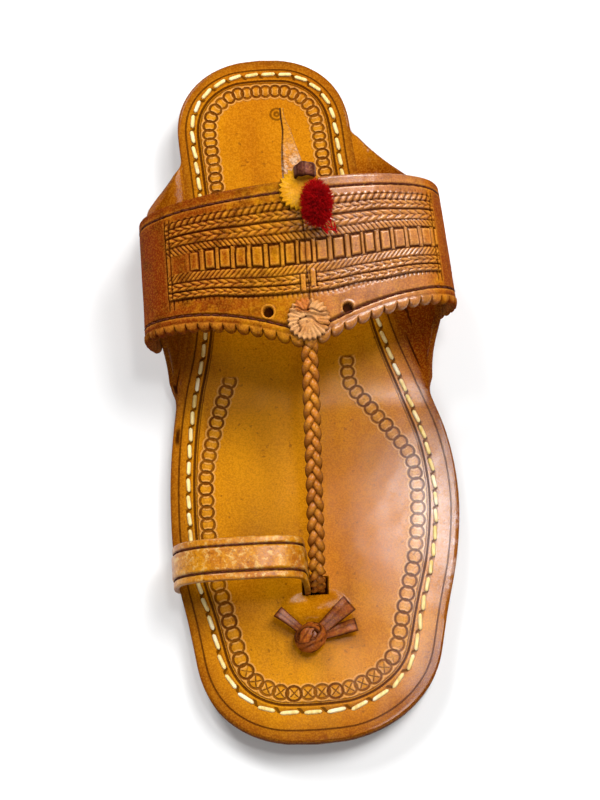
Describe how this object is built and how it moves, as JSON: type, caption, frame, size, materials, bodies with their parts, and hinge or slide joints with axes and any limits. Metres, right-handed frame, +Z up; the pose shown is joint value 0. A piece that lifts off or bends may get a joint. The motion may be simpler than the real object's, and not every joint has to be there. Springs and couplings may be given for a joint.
{
  "type": "sandal",
  "caption": "Left leather sandal: tooled, scalloped instep band, plaited thong to a toe post, big-toe strap, turned-up insole ears, pinked rosettes, wool pompom, low stacked heel.",
  "frame": {"origin": "middle of the sandal's bounding box, on the floor it stands on", "axes": "+Y towards the heel, so the toe points to -Y; +X to the outer side of the left foot; +Z up"},
  "size_m": [0.1231, 0.28, 0.0858],
  "materials": {
    "tan_leather": "waxed golden tan, vegetable tanned",
    "edge_leather": "burnished dark edge",
    "pale_leather": "undyed, matt",
    "brown_lace": "red-brown lace",
    "red_wool": "red wool yarn"
  },
  "bodies": {
    "root": {"outsole": "edge_leather", "heel_lift_1": "edge_leather", "heel_lift_2": "edge_leather", "midsole": "edge_leather", "insole": "tan_leather", "upper": "tan_leather", "rosette_back": "pale_leather", "rosette_front": "pale_leather", "back_tail": "pale_leather", "pompom": "red_wool", "pompom_tie": "brown_lace", "toe_knot": "brown_lace"}
  },
  "joints": []
}
